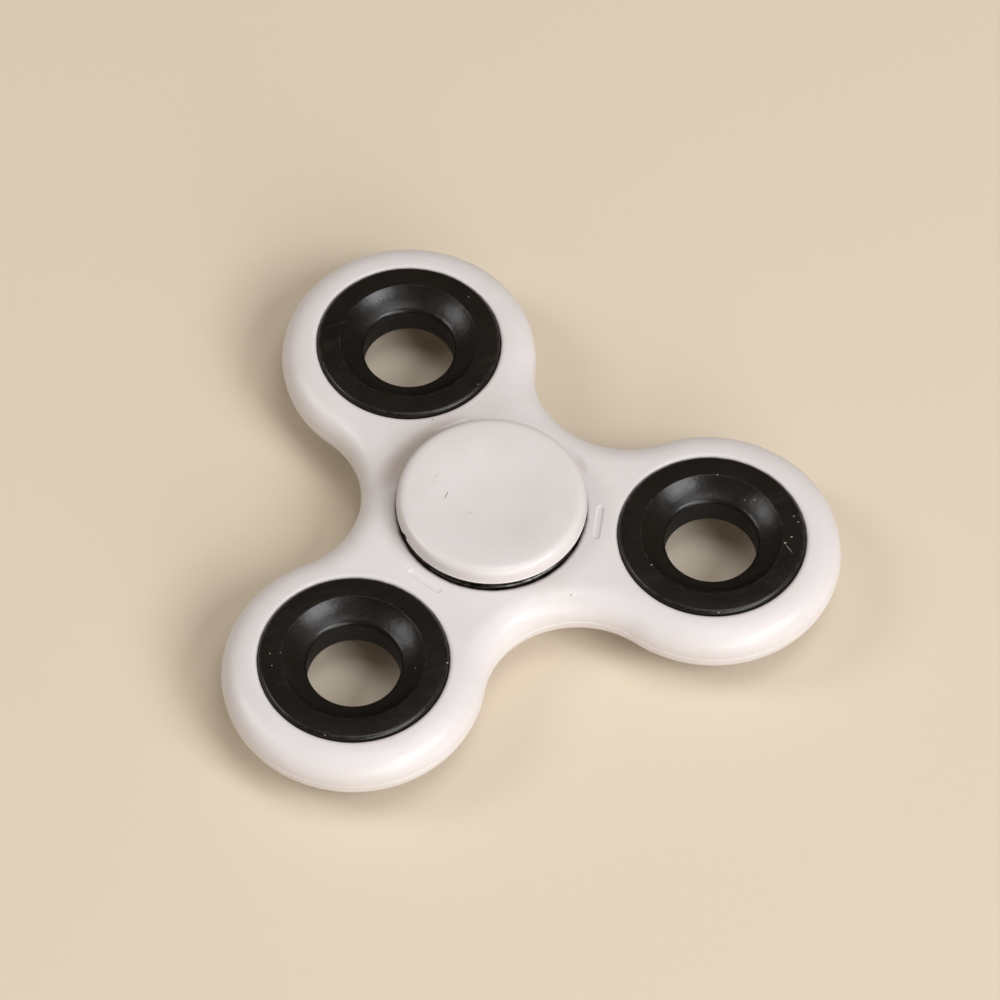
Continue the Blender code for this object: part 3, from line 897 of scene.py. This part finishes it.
def cap_profile():
    """(radius, height) of a cap: dish, crest, shoulder, wall and thin brim, then the boss and the stub."""
    profile = []
    steps = 24
    for step in range(steps):
        across = step / steps
        sink = DISH_DEPTH * (1 + math.cos(math.pi * across**1.4)) / 2
        profile.append((CREST_RADIUS * across, CAP_TOP - sink))
    profile.append((CREST_RADIUS, CAP_TOP))
    steps = 16
    for step in range(steps + 1):
        turn = math.pi / 2 * step / steps
        out = CREST_END + (CAP_WALL - CREST_END) * math.sin(turn) ** (2 / SHOULDER_POWER)
        fall = 1 - max(math.cos(turn), 0.0) ** (2 / SHOULDER_POWER)
        profile.append((out, CAP_TOP - SHOULDER_DROP * fall))
    wall = [(*profile.pop(), 0), (CAP_WALL + 0.01, BRIM_TOP, 0), (CAP_RADIUS, BRIM_TOP - BRIM_EDGE, 0.05)]
    wall += [(CAP_RADIUS, CAP_UNDERSIDE, 0.12), (BOSS_RADIUS, CAP_UNDERSIDE, 0.3)]
    boss = BEARING_HALF + 0.05
    wall += [(BOSS_RADIUS, boss, 0.1), (STUB_RADIUS, boss, 0.1), (STUB_RADIUS, STUB_END, 0.4)]
    return profile + rounded(wall + [(0, STUB_END, 0)], closed=False)


def nick_cutter():
    """A flattened ball that takes a nick out of a cap's brim."""
    builder = bmesh.new()
    bmesh.ops.create_icosphere(builder, subdivisions=2, radius=MM)
    place = Matrix.Rotation(NICK_ANGLE, 4, "Z")
    place = place @ Matrix.Translation(Vector((CAP_RADIUS + 0.06, 0, BRIM_TOP)) * MM)
    builder.transform(place @ Matrix.Diagonal(NICK_SIZE))
    return finished("nick", builder, None)


def caps():
    """A dished cap on each face, the upper one with a nick in its edge."""
    profile = cap_profile()
    for label in ("upper", "lower"):
        piece = turned(f"cap_{label}", profile, CAP_ABS, closed=False)
        if label == "upper":
            bored(piece, nick_cutter())
            smoothed(piece)
        else:
            turned_over(piece)
        stands_for(piece, f"finger_cap_{label}", "hub")


# ---------------------------------------------------------------- stage, light and camera

TABLE_HALF_METRES = 2.0
TABLE_GAP = 0.01
LIGHT_METRES = 1.3

# Where the camera stands: round from the front, up, and tilted, then how far from what it looks at.
VIEW_AZIMUTH = math.radians(-23.458)
VIEW_ELEVATION = math.radians(56.386)
VIEW_ROLL = math.radians(1.162)
VIEW_DISTANCE = 554.82
VIEW_TARGET = Vector((0.9735, 1.4792, 3.0))
LENS = 170.7
SENSOR_WIDTH = 36


def stage():
    """A plain pale table top, a hair under the lower cap."""
    builder = bmesh.new()
    bmesh.ops.create_grid(builder, x_segments=1, y_segments=1, size=TABLE_HALF_METRES)
    made = bpy.data.materials.new("pale_table")
    made.use_nodes = True
    shader = made.node_tree.nodes["Principled BSDF"]
    shader.inputs["Base Color"].default_value = linear("#E6D8C2")
    shader.inputs["Roughness"].default_value = 0.6
    table = finished("table", builder, made)
    table.location.z = (TABLE - TABLE_GAP) * MM


def softbox(name, azimuth, elevation, size, power, colour="#FFFFFF"):
    """A square light that faces the spinner from this direction, in degrees round from the view's right."""
    light = bpy.data.lights.new(name, "AREA")
    light.shape = "SQUARE"
    light.size = size
    light.energy = power
    light.color = linear(colour)[:3]
    lamp = bpy.data.objects.new(name, light)
    bpy.context.scene.collection.objects.link(lamp)
    around = VIEW_AZIMUTH + math.radians(azimuth)
    up = math.radians(elevation)
    towards = polar(math.cos(up), around, math.sin(up))
    lamp.location = towards * LIGHT_METRES
    lamp.rotation_euler = (-towards).to_track_quat("-Z", "Y").to_euler()


def camera():
    """Looks down on the spinner from in front, a little turned."""
    made = bpy.data.cameras.new("camera")
    made.lens = LENS
    made.sensor_width = SENSOR_WIDTH
    seen = bpy.data.objects.new("camera", made)
    bpy.context.scene.collection.objects.link(seen)
    turn = Matrix.Rotation(VIEW_AZIMUTH, 3, "Z")
    back = turn @ Vector((0, -math.cos(VIEW_ELEVATION), math.sin(VIEW_ELEVATION)))
    target = turn @ VIEW_TARGET
    seen.location = (target + back * VIEW_DISTANCE) * MM
    looking = (-back).to_track_quat("-Z", "Y")
    seen.rotation_euler = (looking.to_matrix() @ Matrix.Rotation(VIEW_ROLL, 3, "Z")).to_euler()
    made.clip_start = 10 * MM
    bpy.context.scene.camera = seen


def lights():
    """Large soft lights: a key to the front right, a low one beside it, two weaker ones and a dim room."""
    softbox("key", -36, 43, 0.6, 9.2, "#F9FBFF")
    softbox("front", -62, 20, 0.7, 6.2, "#FBFBFF")
    softbox("side", 177, 44, 0.5, 3.5)
    softbox("top", 0, 78, 0.6, 3.8)
    world = bpy.data.worlds.new("room")
    world.use_nodes = True
    backdrop = world.node_tree.nodes["Background"]
    backdrop.inputs["Color"].default_value = linear("#F7E4CF")
    backdrop.inputs["Strength"].default_value = 0.17
    bpy.context.scene.world = world
    bpy.context.scene.view_settings.view_transform = "Standard"


moulded_frame()
weights()
bearing_rings()
shields()
balls()
cage()
caps()
stage()
camera()
lights()
